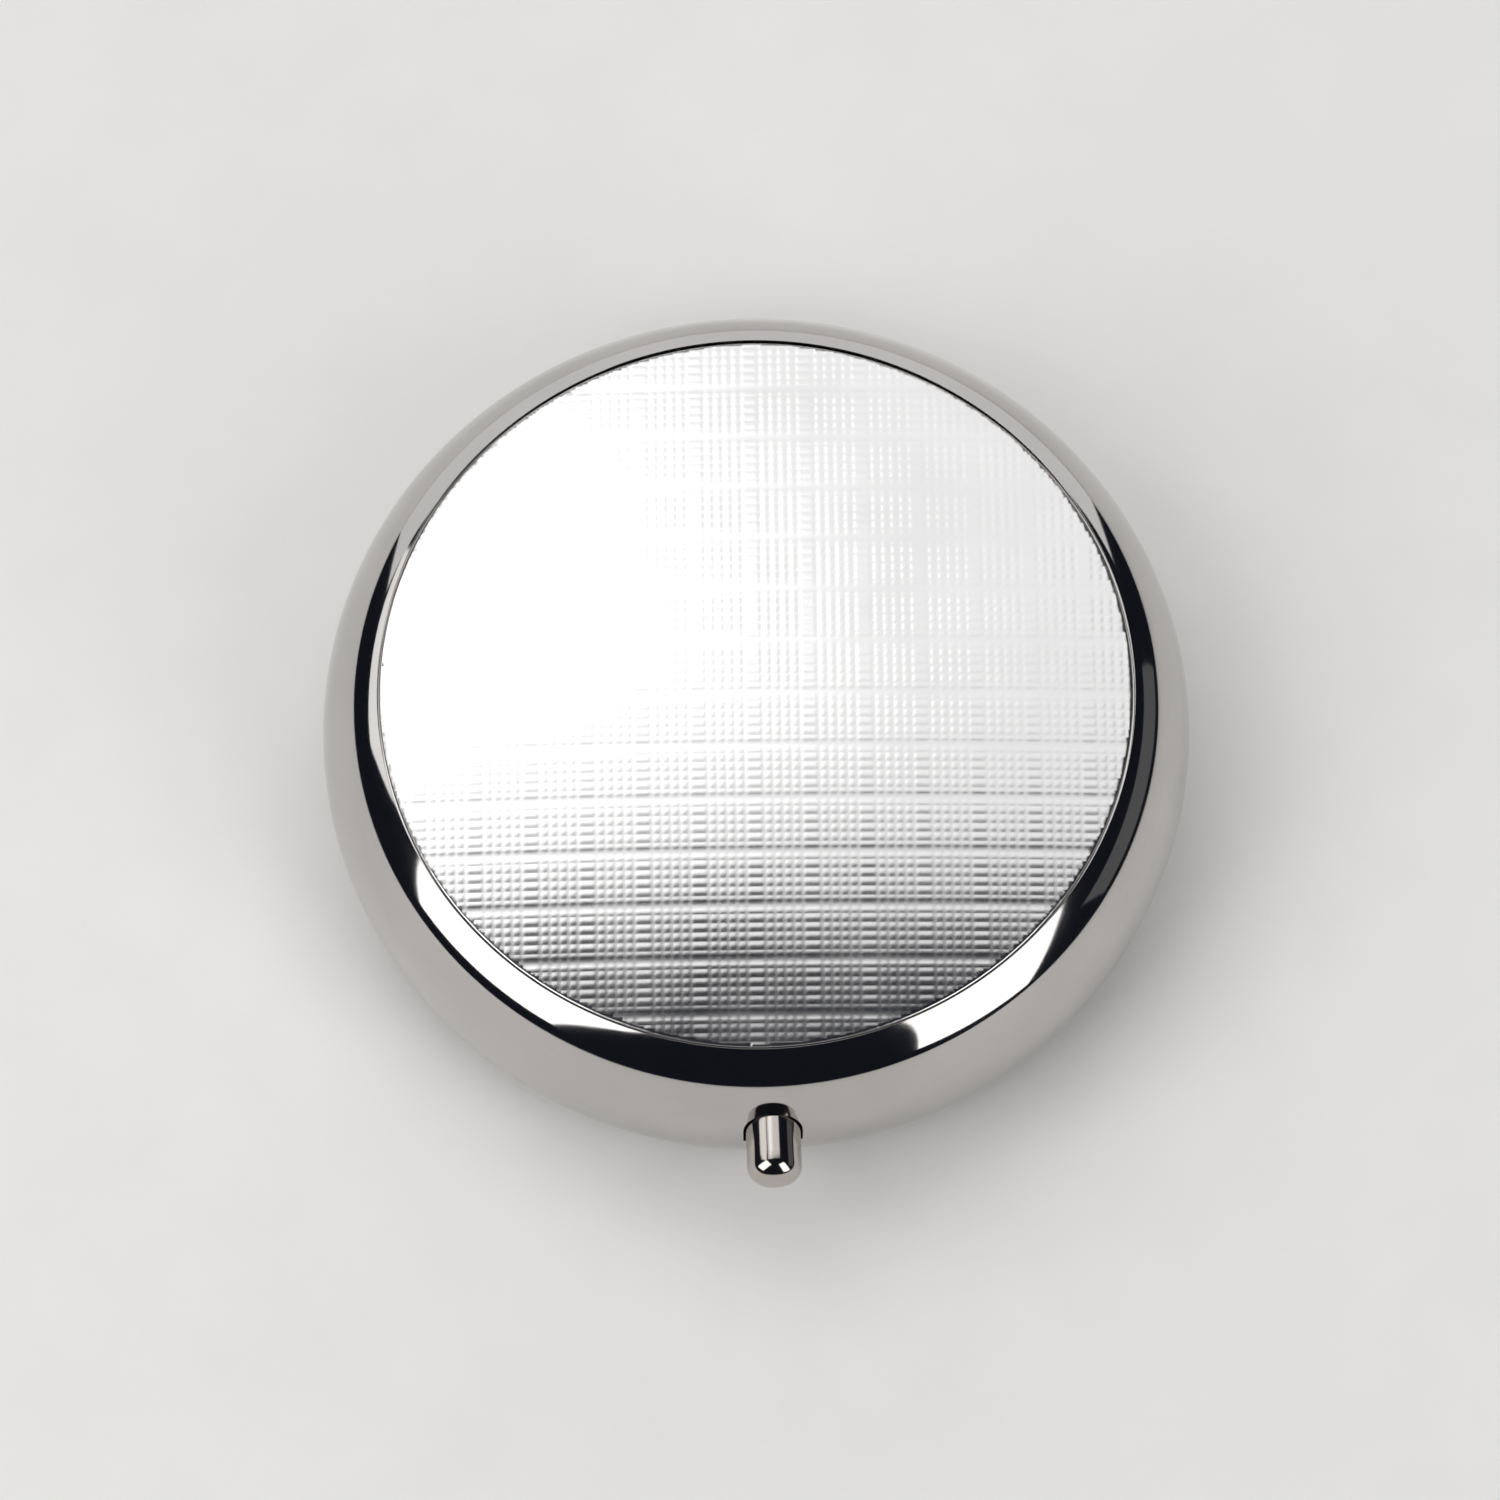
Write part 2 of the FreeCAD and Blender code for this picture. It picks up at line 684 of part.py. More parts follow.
def mirror_frame():
    """The ring round the mirror, with a lip under its edge."""
    body = new_body("mirror_frame")
    section = new_sketch(body, "frame_section", "XZ_Plane")
    seat = "Dims.mirror_radius + Dims.running_fit"
    outline(
        section,
        [
            ("Dims.frame_lip_radius", "Dims.frame_bottom_z"),
            ("Dims.frame_outer_radius", "Dims.frame_bottom_z"),
            ("Dims.frame_outer_radius", "Dims.frame_top_z"),
            (seat, "Dims.frame_top_z"),
            (seat, "Dims.mirror_bottom_z"),
            ("Dims.frame_lip_radius", "Dims.mirror_bottom_z"),
        ],
    )
    revolve(body, section)
    return body


def latch_striker():
    """The bridge under the lid with two legs whose barbs reach towards the catch's windows."""
    body = new_body("latch_striker")
    bridge = new_sketch(body, "striker_front", "XZ_Plane", "-Dims.striker_front_y")
    width, leg = "Dims.catch_half_width", "Dims.ear_inner_x"
    outline(
        bridge,
        [
            ("-" + width, "Dims.striker_bottom_z"),
            ("-" + leg, "Dims.striker_bottom_z"),
            ("-" + leg, "Dims.striker_bridge_z"),
            (leg, "Dims.striker_bridge_z"),
            (leg, "Dims.striker_bottom_z"),
            (width, "Dims.striker_bottom_z"),
            (width, "Dims.striker_top_z"),
            ("-" + width, "Dims.striker_top_z"),
        ],
    )
    pad(body, bridge, "Dims.sheet", backwards=True)
    foot = new_sketch(body, "striker_foot", "XZ_Plane", "-Dims.striker_front_y")
    rectangle(foot, "-" + width, "Dims.striker_top_z - Dims.sheet", width, "Dims.striker_top_z")
    pad(body, foot, "Dims.striker_foot_depth", backwards=True)
    barbs = new_sketch(body, "striker_barbs", "XZ_Plane", "-Dims.striker_front_y")
    barb_top = "Dims.striker_bottom_z + Dims.barb_thickness"
    rectangle(barbs, leg, "Dims.striker_bottom_z", width, barb_top)
    rectangle(barbs, "-" + width, "Dims.striker_bottom_z", "-" + leg, barb_top)
    pad(body, barbs, "Dims.sheet + Dims.barb_length", backwards=True)
    return body


def hinge_leaf(name, leaf, knuckle_x, arm):
    """A curved strip inside a rear wall, with an arm and a knuckle on each side.

    leaf holds the strip's inner radius, low z, high z and angle; arm is the arm's outline.
    """
    body = new_body(name)
    radius, low_z, high_z, angle = leaf
    strip = new_sketch(body, name + "_strip", "YZ_Plane")
    outer = "%s + Dims.sheet" % radius
    rectangle(strip, radius, low_z, outer, high_z)
    revolve(body, strip, angle)
    bracket = new_sketch(body, name + "_arm", "YZ_Plane", knuckle_x)
    outline(bracket, arm)
    arm_pad = pad(body, bracket, "Dims.knuckle_length")
    barrel = new_sketch(body, name + "_barrel", "YZ_Plane", knuckle_x)
    circle(barrel, "Dims.hinge_y", "Dims.hinge_z", "Dims.barrel_radius")
    barrel_pad = pad(body, barrel, "Dims.knuckle_length")
    mirror_features(body, [arm_pad, barrel_pad])
    bore = new_sketch(body, name + "_bore", "YZ_Plane")
    circle(bore, "Dims.hinge_y", "Dims.hinge_z", "Dims.pin_radius + Dims.pin_clearance")
    pocket(body, bore, str(FAR), midplane=True)
    return body


def hinge_base_leaf():
    low_z = "Dims.hinge_z - Dims.barrel_radius"
    arm_y = "Dims.base_arm_y"
    web_y = "Dims.base_arm_y + Dims.base_arm_web"
    arm = [
        (arm_y, "Dims.base_arm_bottom_z"),
        (web_y, "Dims.base_arm_bottom_z"),
        (web_y, low_z),
        ("Dims.hinge_y", low_z),
        ("Dims.hinge_y", low_z + " + Dims.sheet"),
        (arm_y, low_z + " + Dims.sheet"),
    ]
    strip = (
        "Dims.base_leaf_radius",
        "Dims.base_leaf_bottom_z",
        "Dims.base_leaf_top_z",
        "Dims.base_leaf_angle",
    )
    return hinge_leaf("hinge_base_leaf", strip, "Dims.outer_knuckle_x", arm)


def hinge_lid_leaf():
    high_z = "Dims.hinge_z + Dims.barrel_radius"
    arm_y = "Dims.lid_arm_y"
    arm = [
        (arm_y, high_z + " - Dims.sheet"),
        ("Dims.hinge_y", high_z + " - Dims.sheet"),
        ("Dims.hinge_y", high_z),
        (arm_y + " + Dims.sheet", high_z),
        (arm_y + " + Dims.sheet", "Dims.lid_arm_top_z"),
        (arm_y, "Dims.lid_arm_top_z"),
    ]
    strip = (
        "Dims.lid_leaf_radius",
        "Dims.lid_leaf_bottom_z",
        "Dims.lid_leaf_top_z",
        "Dims.lid_leaf_angle",
    )
    return hinge_leaf("hinge_lid_leaf", strip, "Dims.inner_knuckle_x", arm)


def hinge_pin():
    """The pin through all the knuckles, along X."""
    pin = document.addObject("Part::Cylinder", "hinge_pin")
    pin.Label = "hinge_pin"
    pin.Placement.Rotation = FreeCAD.Rotation(FreeCAD.Vector(0, 1, 0), 90)
    pin.setExpression("Radius", "Dims.pin_radius")
    pin.setExpression("Height", "2 * Dims.hinge_half_width")
    pin.setExpression("Placement.Base.x", "-Dims.hinge_half_width")
    pin.setExpression("Placement.Base.y", "Dims.hinge_y")
    pin.setExpression("Placement.Base.z", "Dims.hinge_z")
    return pin


def hinge_spring():
    """The tube that the torsion coil fills round the pin, with a leg over and a leg under it."""
    body = new_body("hinge_spring")
    section = new_sketch(body, "torsion_section", "XZ_Plane")
    rectangle(
        section,
        "-Dims.torsion_half_length",
        "Dims.torsion_mean_radius - Dims.torsion_wire / 2",
        "Dims.torsion_half_length",
        "Dims.torsion_mean_radius + Dims.torsion_wire / 2",
    )
    revolve(body, section, axis="H_Axis")
    legs = new_sketch(body, "torsion_legs", "XZ_Plane")
    leg_x = "(Dims.torsion_half_length - Dims.torsion_wire)"
    circle(legs, "-" + leg_x, "Dims.torsion_mean_radius", "Dims.torsion_leg_radius")
    circle(legs, leg_x, "-Dims.torsion_mean_radius", "Dims.torsion_leg_radius")
    pad(body, legs, "Dims.torsion_leg")
    body.setExpression("Placement.Base.y", "Dims.hinge_y")
    body.setExpression("Placement.Base.z", "Dims.hinge_z")
    return body


SUB_PARTS = [
    base_shell,
    base_collar,
    pill_tray,
    latch_bracket,
    latch_rivets,
    button_spring,
    hinge_base_leaf,
    hinge_pin,
    hinge_spring,
    push_button,
    latch_catch,
    retaining_clip,
    lid_shell,
    lid_plate,
    plate_adhesive,
    hinge_lid_leaf,
    latch_striker,
    mirror_frame,
    lid_mirror,
    mirror_pad,
]

made = [make() for make in SUB_PARTS]
document.recompute()

for item in document.Objects:
    if "Invalid" in item.State or "Error" in item.State:
        raise RuntimeError("%s failed: %s" % (item.Name, item.State))
for item in made:
    if item.Shape.isNull() or not item.Shape.isValid() or not item.Shape.Solids:
        raise RuntimeError("%s has no valid solid" % item.Label)

os.makedirs("parts", exist_ok=True)
for item in made:
    item.Shape.exportStep(os.path.join("parts", item.Label + ".step"))
    print("%-16s %2d solid(s) %9.3f mm3" % (item.Label, len(item.Shape.Solids), item.Shape.Volume))
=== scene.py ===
import json
import math

import bpy
import numpy as np
from mathutils import Matrix, Quaternion, Vector


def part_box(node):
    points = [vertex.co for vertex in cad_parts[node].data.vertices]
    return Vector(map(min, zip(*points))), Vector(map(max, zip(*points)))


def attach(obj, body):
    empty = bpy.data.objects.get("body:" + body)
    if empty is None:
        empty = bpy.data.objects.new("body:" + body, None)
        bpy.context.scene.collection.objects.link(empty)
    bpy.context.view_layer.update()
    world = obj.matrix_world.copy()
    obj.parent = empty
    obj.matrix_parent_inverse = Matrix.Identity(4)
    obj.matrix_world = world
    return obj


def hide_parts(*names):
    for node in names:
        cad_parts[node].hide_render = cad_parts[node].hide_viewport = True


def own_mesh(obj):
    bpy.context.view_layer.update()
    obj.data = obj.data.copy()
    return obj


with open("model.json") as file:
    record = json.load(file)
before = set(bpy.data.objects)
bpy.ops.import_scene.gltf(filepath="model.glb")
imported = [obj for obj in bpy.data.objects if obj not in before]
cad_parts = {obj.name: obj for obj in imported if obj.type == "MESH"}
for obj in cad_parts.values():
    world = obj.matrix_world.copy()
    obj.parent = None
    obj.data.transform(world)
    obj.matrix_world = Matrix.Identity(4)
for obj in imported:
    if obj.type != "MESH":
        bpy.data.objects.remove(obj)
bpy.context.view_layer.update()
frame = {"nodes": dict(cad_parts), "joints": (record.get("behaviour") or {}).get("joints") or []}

MM = 0.001

# ---- the case, in millimetres, placed by the boxes of its nodes ------------------------------


def box_mm(node):
    """Lowest and highest corner of a node at rest, in millimetres."""
    low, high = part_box(node)
    return low / MM, high / MM


lid_low, _ = box_mm("lid_shell")
base_low, base_high = box_mm("base_shell")
plate_low, plate_high = box_mm("lid_plate")
button_low, button_high = box_mm("push_button")
coil_low, coil_high = box_mm("button_spring")
hinge_joint = next(joint for joint in frame["joints"] if joint["name"] == "lid_hinge")
HINGE_Y = hinge_joint["pos_m"][1] / MM
HINGE_Z = hinge_joint["pos_m"][2] / MM

WALL = 0.5
LID_RADIUS = -lid_low.x
LID_RIM = lid_low.z
SIDE_ARC, SIDE_SWEEP = 9.2, 33.0
SIDE_ROWS_TOP = 10.5
SHOULDER_ARC = 3.9
RECESS_RADIUS, RECESS_FLOOR, DOME_RISE = 21.6, 12.75, 1.0
UNDER_SWEEP, UNDER_Z = 50.0, 13.2

BASE_RADIUS = -base_low.x
BASE_RIM = base_high.z
BASE_CORNER = 6.0

BUTTON_Z = (button_low.z + button_high.z) / 2
NOTCH_HALF = 1.68
CUTOUT_HALF, BASE_CUTOUT_Z, LID_CUTOUT_Z = 6.9, 5.7, 7.9
CUTOUT_ROWS, NOTCH_ROWS = 3, 5

PLATE_RADIUS = -plate_low.x
PLATE_CROWN = plate_high.z
PLATE_THICKNESS = 0.4


# ---- meshes ----------------------------------------------------------------------------------


def add_piece(name, points, faces, material, body, node, sharp=35.0, round_edges=0.0):
    """A new mesh, given in millimetres, that stands for one CAD node and rides with its body."""
    mesh = bpy.data.meshes.new(name)
    mesh.from_pydata((np.asarray(points, float) * MM).tolist(), [], faces)
    mesh.materials.append(material)
    mesh.shade_smooth()
    mesh.set_sharp_from_angle(angle=math.radians(sharp))
    mesh.update()
    piece = bpy.data.objects.new(name, mesh)
    bpy.context.scene.collection.objects.link(piece)
    if round_edges:
        bevel = piece.modifiers.new("rounded_edges", "BEVEL")
        bevel.width = round_edges * MM
        bevel.segments = 2
        bevel.limit_method = "ANGLE"
        bevel.angle_limit = math.radians(sharp)
        bevel.harden_normals = True
    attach(piece, body)
    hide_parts(node)
    return piece


def arc(centre, radius, start, end, cells):
    """Points round an arc, from the angle start to the angle end, in degrees."""
    angles = np.radians(np.linspace(start, end, cells + 1))
    return [(centre[0] + radius * math.cos(a), centre[1] + radius * math.sin(a)) for a in angles]


def turned(profile, segments, place):
    """A body of revolution from (radius, height) points that start and end on its axis."""
    points, faces = [], []
    rings = []
    for radius, height in profile:
        if radius < 1e-6:
            rings.append([len(points)] * segments)
            points.append(place(0.0, 0.0, height))
            continue
        rings.append(list(range(len(points), len(points) + segments)))
        for k in range(segments):
            turn = 2 * math.pi * k / segments
            points.append(place(radius * math.cos(turn), radius * math.sin(turn), height))
    for low, high in zip(rings, rings[1:]):
        for k in range(segments):
            n = (k + 1) % segments
            corners = [low[k], low[n], high[n], high[k]]
            corners = [c for i, c in enumerate(corners) if c not in corners[:i]]
            faces.append(corners)
    return points, faces


def tube(path, radius, sides):
    """A round wire along a path, closed at both ends."""
    path = [Vector(p) for p in path]
    points, faces = [], []
    normal = (path[1] - path[0]).orthogonal().normalized()
    for k, here in enumerate(path):
        ahead = path[min(k + 1, len(path) - 1)] - path[max(k - 1, 0)]
        ahead.normalize()
        normal = (normal - ahead * normal.dot(ahead)).normalized()
        across = ahead.cross(normal)
        for s in range(sides):
            turn = 2 * math.pi * s / sides
            points.append(here + radius * (math.cos(turn) * normal + math.sin(turn) * across))
    for k in range(len(path) - 1):
        for s in range(sides):
            n = (s + 1) % sides
            first, second = k * sides, (k + 1) * sides
            faces.append([first + s, first + n, second + n, second + s])
    faces.append(list(range(sides))[::-1])
    faces.append(list(range((len(path) - 1) * sides, len(path) * sides)))
    return [tuple(p) for p in points], faces


def shell_columns(notch):
    """Columns round a shell, as (turn, fixed x). Turn 0 is the front, where the button is."""
    notch_cells, cutout_cells, side_cells = 16, 18, 116
    notch_edge = math.asin(NOTCH_HALF / LID_RADIUS)
    cutout_edge = math.pi - math.asin(CUTOUT_HALF / LID_RADIUS)
    columns = []
    for k in range(notch_cells):
        x = NOTCH_HALF * math.sin(math.pi * (k / notch_cells - 0.5))
        columns.append((math.asin(x / LID_RADIUS), x if notch else None))
    for k in range(side_cells):
        turn = notch_edge + (cutout_edge - notch_edge) * k / side_cells
        x = NOTCH_HALF if k == 0 and notch else None
        columns.append((turn, x))
    for k in range(cutout_cells):
        x = CUTOUT_HALF * (1 - 2 * k / cutout_cells)
        columns.append((math.pi - math.asin(x / LID_RADIUS), x))
    for k in range(side_cells):
        turn = 2 * math.pi - cutout_edge + (cutout_edge - notch_edge) * k / side_cells
        columns.append((turn, -CUTOUT_HALF if k == 0 else None))
    notch_span = (0, notch_cells)
    cutout_span = (notch_cells + side_cells, notch_cells + side_cells + cutout_cells)
    return columns, notch_span, cutout_span


def shell(columns, outer, inner, shared, missing):
    """A thin pressed shell. The first shared rows of both skins match, and cells may be missing.

    A row gives (radius, height) for a column's fixed x, or for None where only the turn counts.
    """
    count = len(columns)
    points, faces = [], []

    def lay(rows):
        grid = []
        for index, row in enumerate(rows):
            line = []
            for turn, x in columns:
                radius, z = row(x)
                if radius < 1e-6:
                    line = [len(points)] * count
                    points.append((0.0, 0.0, z))
                    break
                if x is None or index > shared:
                    place = (radius * math.sin(turn), -radius * math.cos(turn), z)
                else:
                    away = math.sqrt(radius**2 - x**2)
                    place = (x, -away if math.cos(turn) > 0 else away, z)
                line.append(len(points))
                points.append(place)
            grid.append(line)
        return grid

    def skin(grid, flip):
        for j in range(len(grid) - 1):
            for i in range(count):
                n = (i + 1) % count
                if (i, j) in missing:
                    continue
                corners = [grid[j][i], grid[j][n], grid[j + 1][n], grid[j + 1][i]]
                corners = [c for k, c in enumerate(corners) if c not in corners[:k]]
                faces.append(corners[::-1] if flip else corners)

    out, into = lay(outer), lay(inner)
    skin(out, False)
    skin(into, True)
    for j in range(shared):
        for i in range(count):
            if (i, j) in missing:
                continue
            n = (i + 1) % count
            if j == 0 or (i, j - 1) in missing:
                faces.append([out[j][n], out[j][i], into[j][i], into[j][n]])
            if ((i - 1) % count, j) in missing:
                faces.append([out[j][i], out[j + 1][i], into[j + 1][i], into[j][i]])
            if (n, j) in missing:
                faces.append([out[j + 1][n], out[j][n], into[j][n], into[j + 1][n]])
    used = sorted({c for face in faces for c in face})
    renumber = {c: k for k, c in enumerate(used)}
    return [points[c] for c in used], [[renumber[c] for c in face] for face in faces]


def dome_height(crown, radius):
    """Height of the shallow dome of the recess and the plate, whose top is at crown."""
    return crown - DOME_RISE * (radius / RECESS_RADIUS) ** 2


def lid_shell(material):
    """Lid: bulging side, tight polished shoulder, recess for the plate, notch and hinge cut-out."""
    side_x = LID_RADIUS - SIDE_ARC
    turn = math.radians(SIDE_SWEEP)
    shoulder_x = side_x + (SIDE_ARC - SHOULDER_ARC) * math.cos(turn)
    shoulder_z = LID_RIM + (SIDE_ARC - SHOULDER_ARC) * math.sin(turn)
    edge = math.degrees(math.acos((RECESS_RADIUS - shoulder_x) / SHOULDER_ARC))

    def side_rows(radius):
        def reach(z):
            return side_x + math.sqrt(radius**2 - (z - LID_RIM) ** 2)

        def level(z):
            return lambda x: (reach(z), z)

        def above_notch(share):
            def row(x):
                start = BUTTON_Z
                if x is not None and abs(x) < NOTCH_HALF:
                    start += math.sqrt(NOTCH_HALF**2 - x**2)
                z = start + (SIDE_ROWS_TOP - start) * share
                return reach(z), z

            return row

        rows = [level(z) for z in np.linspace(LID_RIM, LID_CUTOUT_Z, CUTOUT_ROWS + 1)]
        rows += [level(LID_CUTOUT_Z + (BUTTON_Z - LID_CUTOUT_Z) / 2)]
        rows += [above_notch(s) for s in np.linspace(0, 1, 8)]
        return rows

    def fixed(places):
        return [lambda x, place=place: place for place in places]

    outer = side_rows(SIDE_ARC)
    inner = side_rows(SIDE_ARC - WALL)
    shared = len(outer) - 1
    start = math.degrees(math.asin((SIDE_ROWS_TOP - LID_RIM) / SIDE_ARC))
    outer += fixed(arc((side_x, LID_RIM), SIDE_ARC, start, SIDE_SWEEP, 5)[1:])
    outer += fixed(arc((shoulder_x, shoulder_z), SHOULDER_ARC, SIDE_SWEEP, edge, 14)[1:])
    crown = RECESS_FLOOR + DOME_RISE
    for radius in (RECESS_RADIUS, 16.0, 11.0, 6.0, 2.0, 0.0):
        outer += fixed([(radius, dome_height(crown, radius))])
    start = math.degrees(math.asin((SIDE_ROWS_TOP - LID_RIM) / (SIDE_ARC - WALL)))
    inner += fixed(arc((side_x, LID_RIM), SIDE_ARC - WALL, start, SIDE_SWEEP, 5)[1:])
    under = arc((shoulder_x, shoulder_z), SHOULDER_ARC - WALL, SIDE_SWEEP, UNDER_SWEEP, 4)[1:]
    inner += fixed(under)
    under_x, under_z = under[-1]
    for share in (0.9, 0.75, 0.5, 0.25, 0.1, 0.0):
        inner += fixed([(under_x * share, UNDER_Z - (UNDER_Z - under_z) * share**2)])
    columns, notch, cutout = shell_columns(True)
    missing = {(i, j) for i in range(*notch) for j in range(NOTCH_ROWS)}
    missing |= {(i, j) for i in range(*cutout) for j in range(CUTOUT_ROWS)}
    points, faces = shell(columns, outer, inner, shared, missing)
    add_piece("lid_shell_formed", points, faces, material, "lid", "lid_shell", 40, 0.1)


def base_shell(material):
    """Base: flat bottom, round corner, upright rim and hinge cut-out."""
    flat = BASE_RADIUS - BASE_CORNER

    def rows_of(radius, bottom):
        def reach(z):
            if z >= BASE_CORNER:
                return flat + radius
            return flat + math.sqrt(radius**2 - (BASE_CORNER - z) ** 2)

        rows = []
        for z in np.linspace(BASE_RIM, BASE_CUTOUT_Z, CUTOUT_ROWS + 1):
            rows.append(lambda x, place=(reach(z), z): place)
        start = -math.degrees(math.asin((BASE_CORNER - BASE_CUTOUT_Z) / radius))
        places = arc((flat, BASE_CORNER), radius, start, -90, 18)[1:]
        places += [(r, bottom) for r in (14.0, 9.0, 5.0, 2.0, 0.0)]
        rows += [lambda x, place=place: place for place in places]
        return rows

    outer = rows_of(BASE_CORNER, 0.0)
    inner = rows_of(BASE_CORNER - WALL, WALL)
    columns, _, cutout = shell_columns(False)
    missing = {(i, j) for i in range(*cutout) for j in range(CUTOUT_ROWS)}
    points, faces = shell(columns, outer, inner, CUTOUT_ROWS, missing)
    faces = [face[::-1] for face in faces]
    add_piece("base_shell_formed", points, faces, material, "base", "base_shell", 40, 0.1)


# ---- the embossed plate ----------------------------------------------------------------------

PATTERN_TURN = math.radians(-1.5)
FINE_PITCH = 25.4 / 48
GROOVES = 5
PERIOD = 6 * FINE_PITCH
UPRIGHT_GROOVE = (0.15, 0.09)
LEVEL_GROOVE = (0.16, 0.03)
UPRIGHT_SHIFT = 0.36
GROOVE_DEPTH = 0.009
DISH_DEPTH = 0.017
EDGE_RING = 0.16
RIM_INSET, EDGE_INSET, EDGE_DROP, SIDE_DROP = 0.09, 0.02, 0.03, 0.1
UNDERSIDE_SHARE = 0.6


def pattern_lines(groove_shape, shift):
    """Grid lines across the plate, as (position, groove share, dish share).

    groove_shape is the half width of a groove at its top and at its floor.
    """
    groove_half, floor_half = groove_shape
    lines = []
    wide_start = (GROOVES - 1) * FINE_PITCH + groove_half
    wide_end = PERIOD - groove_half
    first = math.floor(-PLATE_RADIUS / PERIOD) - 1
    for k in range(first, -first + 1):
        start = k * PERIOD + shift
        for groove in range(GROOVES):
            centre = start + groove * FINE_PITCH
            lines.append((centre - groove_half, 0.0, 0.0))
            lines.append((centre - floor_half, 1.0, 0.0))
            lines.append((centre + floor_half, 1.0, 0.0))
            lines.append((centre + groove_half, 0.0, 0.0))
        for share in (0.17, 0.5, 0.83):
            dish = 1 - (2 * share - 1) ** 2
            lines.append((start + wide_start + (wide_end - wide_start) * share, 0.0, dish))
    return [line for line in lines if abs(line[0]) < PLATE_RADIUS]


def relief_depth(groove_u, groove_v, dish_v):
    """Depth where grooves of both directions and the dished wide rows meet: the deepest wins."""
    depth = GROOVE_DEPTH * np.maximum(groove_u, groove_v)
    return np.maximum(depth, DISH_DEPTH * dish_v)


def four_corners(cells):
    """The four shifted views of a grid that line up the neighbours round each of its gaps."""
    return cells[:-1, :-1], cells[1:, :-1], cells[1:, 1:], cells[:-1, 1:]


def embossed_top(u, v, relief):
    """Top of the plate inside its edge: points, faces, and its border as (numbers, turns)."""
    grid_u, grid_v = np.meshgrid(u, v, indexing="ij")
    far = np.hypot(grid_u, grid_v)
    kept = np.logical_and.reduce(four_corners(far < PLATE_RADIUS - EDGE_RING))
    used = np.zeros(far.shape, bool)
    for corner in four_corners(used):
        corner |= kept
    number = -np.ones(far.shape, int)
    number[used] = np.arange(used.sum())
    cos_t, sin_t = math.cos(PATTERN_TURN), math.sin(PATTERN_TURN)
    x = grid_u * cos_t - grid_v * sin_t
    y = grid_u * sin_t + grid_v * cos_t
    height = dome_height(PLATE_CROWN, far) - relief
    points = np.stack([x[used], y[used], height[used]], axis=1).tolist()
    faces = np.stack([corner[kept] for corner in four_corners(number)], axis=1).tolist()
    whole = np.zeros(far.shape, bool)
    whole[1:-1, 1:-1] = np.logical_and.reduce(four_corners(kept))
    border = used & ~whole
    turns = np.arctan2(y[border], x[border])
    order = np.argsort(turns)
    return points, faces, number[border][order].tolist(), turns[order]


def lid_plate(material):
    """Domed plate with a plaid of embossed grooves, on a grid that follows the grooves."""
    u, groove_u, _ = np.array(pattern_lines(UPRIGHT_GROOVE, UPRIGHT_SHIFT)).T
    v, groove_v, dish_v = np.array(pattern_lines(LEVEL_GROOVE, 0.0)).T
    relief = relief_depth(groove_u[:, None], groove_v[None, :], dish_v[None, :])
    points, faces, border, turns = embossed_top(u, v, relief)

    rim = PLATE_RADIUS - RIM_INSET
    rim_u, rim_v = rim * np.cos(turns - PATTERN_TURN), rim * np.sin(turns - PATTERN_TURN)
    rim_relief = relief_depth(
        np.interp(rim_u, u, groove_u), np.interp(rim_v, v, groove_v), np.interp(rim_v, v, dish_v)
    )
    edge_z = dome_height(PLATE_CROWN, PLATE_RADIUS)
    inner_bottom = PLATE_CROWN - PLATE_THICKNESS
    profile = [
        (rim, dome_height(PLATE_CROWN, rim) - rim_relief),
        (PLATE_RADIUS - EDGE_INSET, edge_z - EDGE_DROP),
        (PLATE_RADIUS, edge_z - SIDE_DROP),
        (PLATE_RADIUS, edge_z - PLATE_THICKNESS),
        (PLATE_RADIUS * UNDERSIDE_SHARE, inner_bottom - DOME_RISE * UNDERSIDE_SHARE**2),
    ]
    count = len(border)
    for radius, z in profile:
        start = len(points)
        heights = np.broadcast_to(z, turns.shape)
        points += np.stack([radius * np.cos(turns), radius * np.sin(turns), heights], axis=1).tolist()
        current = list(range(start, start + count))
        for k in range(count):
            n = (k + 1) % count
            faces.append([border[k], current[k], current[n], border[n]])
        border = current
    centre = len(points)
    points.append((0.0, 0.0, inner_bottom))
    for k in range(count):
        faces.append([border[k], centre, border[(k + 1) % count]])
    add_piece("lid_plate_embossed", points, faces, material, "lid", "lid_plate", 60)


# ---- small parts -----------------------------------------------------------------------------

WIRE_SIDES = 10


def push_button(material):
    """The turned pin: rounded tip, flange, hub and stem."""
    tip, end = button_low.y, button_high.y
    radius, tip_round = 1.55, 1.05
    flange, hub, stem = button_high.x, 1.0, 0.6
    flange_front, flange_back, hub_back = -21.95, -21.45, -20.8
    edge, end_chamfer = 0.08, 0.15
    profile = [(0.0, tip), (0.25, tip)]
    for along, out in arc((0, 0), tip_round, 0, 90, 10):
        profile.append((radius - tip_round + out, tip + tip_round - along))
    profile += [(radius, y) for y in (-26.4, -25.0, -24.0, -23.0, flange_front)]
    profile += [(flange - edge, flange_front), (flange, flange_front + edge)]
    profile += [(flange, flange_back - edge), (flange - edge, flange_back)]
    profile += [(hub, flange_back), (hub, hub_back), (stem, hub_back), (stem, end - end_chamfer)]
    profile += [(stem - end_chamfer, end), (0.0, end)]
    points, faces = turned(profile, 64, lambda a, b, y: (a, y, BUTTON_Z + b))
    add_piece("push_button_turned", points, faces, material, "button", "push_button", 30)


